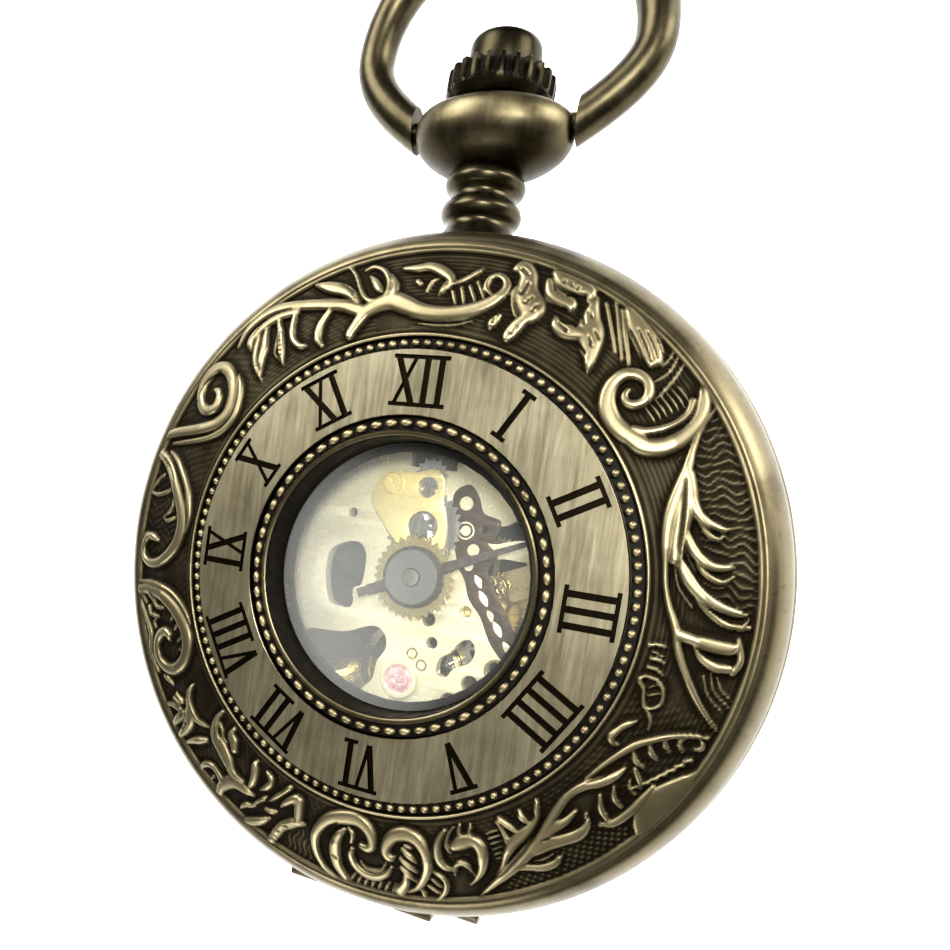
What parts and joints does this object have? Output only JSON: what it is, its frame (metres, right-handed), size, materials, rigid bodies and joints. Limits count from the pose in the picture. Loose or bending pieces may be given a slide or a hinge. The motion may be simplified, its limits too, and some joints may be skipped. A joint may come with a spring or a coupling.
{
  "type": "pocket watch",
  "caption": "Round hand-wound pocket watch with a hinged ornamented half-hunter lid, glazed window over a skeleton movement, ribbed crown, push button and swinging bow.",
  "frame": {"origin": "middle of the flat back face", "axes": "+Z out of the face, +Y to 12 o'clock and the crown, +X to 3 o'clock"},
  "size_m": [0.047, 0.0703, 0.0133],
  "materials": {
    "bronze": "antiqued bronze plate, brushed, dark in the recesses",
    "dark_bronze": "darkened bronze plate, worn bright on the edges",
    "gilt": "polished gilt brass",
    "steel": "fine ground steel",
    "hands": "dark grey satin",
    "glass": "clear polished",
    "jewel": "polished synthetic ruby in a gilt setting",
    "dial": "cream enamel paint"
  },
  "bodies": {
    "case": {"case_band": "bronze", "pendant": "bronze", "hinge_pin": "steel", "front_bezel": "gilt", "crystal": "glass", "back_bezel": "gilt", "back_glass": "glass", "dial_ring": "dial", "movement_holder": "steel", "main_plate": "gilt", "minute_bridge": "gilt", "barrel_bridge": "gilt", "train_bridge": "gilt", "balance_cock": "gilt", "pallet_bridge": "gilt", "minute_bridge_screw": "steel", "barrel_bridge_screw": "steel", "train_bridge_screw": "steel", "balance_cock_screw": "steel", "crown_wheel_screw": "steel", "balance_jewel": "jewel", "click_spring": "steel", "hairspring": "steel"},
    "click": {"click": "steel"},
    "front_cover": {"front_cover": "bronze", "window_glass": "glass", "window_ring": "bronze"},
    "back_cover": {"back_cover": "bronze"},
    "bow": {"bow": "bronze"},
    "winding_works": {"winding_pinion": "steel", "sliding_pinion": "steel"},
    "crown": {"winding_stem": "steel", "crown": "dark_bronze"},
    "push_button": {"push_button": "dark_bronze"},
    "lid_catch": {"lid_catch": "steel"},
    "crown_wheel": {"crown_wheel": "steel"},
    "ratchet": {"ratchet_wheel": "steel", "barrel_arbor": "steel"},
    "barrel": {"barrel": "gilt", "barrel_cover": "gilt", "mainspring": "steel"},
    "minute_works": {"centre_pinion": "steel", "centre_wheel": "gilt", "cannon_pinion": "steel", "minute_hand": "hands"},
    "hour_works": {"hour_wheel": "gilt", "hour_hand": "hands"},
    "minute_wheel": {"minute_wheel": "steel"},
    "setting_wheel": {"setting_wheel": "steel"},
    "third_wheel": {"third_wheel": "gilt", "third_pinion": "steel"},
    "fourth_wheel": {"fourth_wheel": "gilt", "fourth_pinion": "steel"},
    "escape_wheel": {"escape_wheel": "steel", "escape_pinion": "steel"},
    "pallet": {"pallet_fork": "steel"},
    "balance": {"balance_wheel": "gilt", "balance_staff": "steel"}
  },
  "joints": [
    {"name": "front_cover_open", "type": "hinge", "parent": "case", "child": "front_cover", "pos_m": [0, -0.02275, 0.00645], "axis": [1, 0, 0], "range_deg": [0, 95]},
    {"name": "back_cover_open", "type": "hinge", "parent": "case", "child": "back_cover", "pos_m": [0, -0.02275, 0.00645], "axis": [-1, 0, 0], "range_deg": [0, 80]},
    {"name": "bow_swing", "type": "hinge", "parent": "case", "child": "bow", "pos_m": [0, 0.0315, 0.006], "axis": [1, 0, 0], "range_deg": [-110, 110]},
    {"name": "crown_turn", "type": "hinge", "parent": "case", "child": "winding_works", "pos_m": [0, 0.0115, 0.006], "axis": [0, 1, 0], "continuous": true},
    {"name": "crown_pull", "type": "slide", "parent": "winding_works", "child": "crown", "axis": [0, 1, 0], "range_m": [0, 0.001]},
    {"name": "button_press", "type": "slide", "parent": "crown", "child": "push_button", "axis": [0, -1, 0], "range_m": [0, 0.0008], "stiffness_N_per_m": 400},
    {"name": "catch_slide", "type": "slide", "parent": "case", "child": "lid_catch", "axis": [0, -1, 0], "range_m": [0, 0.0008]},
    {"name": "crown_wheel_turn", "type": "hinge", "parent": "case", "child": "crown_wheel", "pos_m": [0, 0.00904, 0.0037], "axis": [0, 0, 1], "continuous": true},
    {"name": "ratchet_turn", "type": "hinge", "parent": "case", "child": "ratchet", "pos_m": [-0.00433, 0.00433, 0.0037], "axis": [0, 0, 1], "continuous": true},
    {"name": "minute_turn", "type": "hinge", "parent": "case", "child": "minute_works", "pos_m": [0, 0, 0.006], "axis": [0, 0, -1], "continuous": true},
    {"name": "hour_turn", "type": "hinge", "parent": "case", "child": "hour_works", "pos_m": [0, 0, 0.0083], "axis": [0, 0, -1], "continuous": true},
    {"name": "minute_wheel_turn", "type": "hinge", "parent": "case", "child": "minute_wheel", "pos_m": [0, 0.00358, 0.00785], "axis": [0, 0, 1], "continuous": true},
    {"name": "setting_wheel_turn", "type": "hinge", "parent": "case", "child": "setting_wheel", "pos_m": [0, 0.00734, 0.00785], "axis": [0, 0, 1], "continuous": true},
    {"name": "barrel_turn", "type": "hinge", "parent": "case", "child": "barrel", "pos_m": [-0.00433, 0.00433, 0.0052], "axis": [0, 0, 1], "continuous": true},
    {"name": "third_wheel_turn", "type": "hinge", "parent": "case", "child": "third_wheel", "pos_m": [0.00504, 0.00003, 0.0055], "axis": [0, 0, 1], "continuous": true},
    {"name": "fourth_wheel_turn", "type": "hinge", "parent": "case", "child": "fourth_wheel", "pos_m": [0.00818, -0.00257, 0.0059], "axis": [0, 0, 1], "continuous": true},
    {"name": "escape_wheel_turn", "type": "hinge", "parent": "case", "child": "escape_wheel", "pos_m": [0.00534, -0.00456, 0.0051], "axis": [0, 0, 1], "continuous": true},
    {"name": "click_lift", "type": "hinge", "parent": "case", "child": "click", "pos_m": [-0.0096, 0.0071, 0.0037], "axis": [0, 0, 1], "range_deg": [0, 10], "stiffness_Nm_per_rad": 0.000001},
    {"name": "pallet_rock", "type": "hinge", "parent": "case", "child": "pallet", "pos_m": [0.00287, -0.00587, 0.0051], "axis": [0, 0, 1], "range_deg": [-4, 4]},
    {"name": "balance_swing", "type": "hinge", "parent": "case", "child": "balance", "pos_m": [0, -0.0074, 0.0044], "axis": [0, 0, 1], "range_deg": [-135, 135], "stiffness_Nm_per_rad": 0.0000001}
  ],
  "couplings": [
    {"joint": "catch_slide", "follows": "button_press", "ratio": 1},
    {"joint": "crown_wheel_turn", "follows": "crown_turn", "ratio": 0.58333},
    {"joint": "ratchet_turn", "follows": "crown_turn", "ratio": -0.35},
    {"joint": "hour_turn", "follows": "minute_turn", "ratio": 0.083333},
    {"joint": "minute_wheel_turn", "follows": "minute_turn", "ratio": 0.33333},
    {"joint": "setting_wheel_turn", "follows": "minute_turn", "ratio": -0.83333},
    {"joint": "barrel_turn", "follows": "minute_turn", "ratio": 0.125},
    {"joint": "third_wheel_turn", "follows": "minute_turn", "ratio": 8},
    {"joint": "fourth_wheel_turn", "follows": "minute_turn", "ratio": -60},
    {"joint": "escape_wheel_turn", "follows": "minute_turn", "ratio": 480}
  ]
}
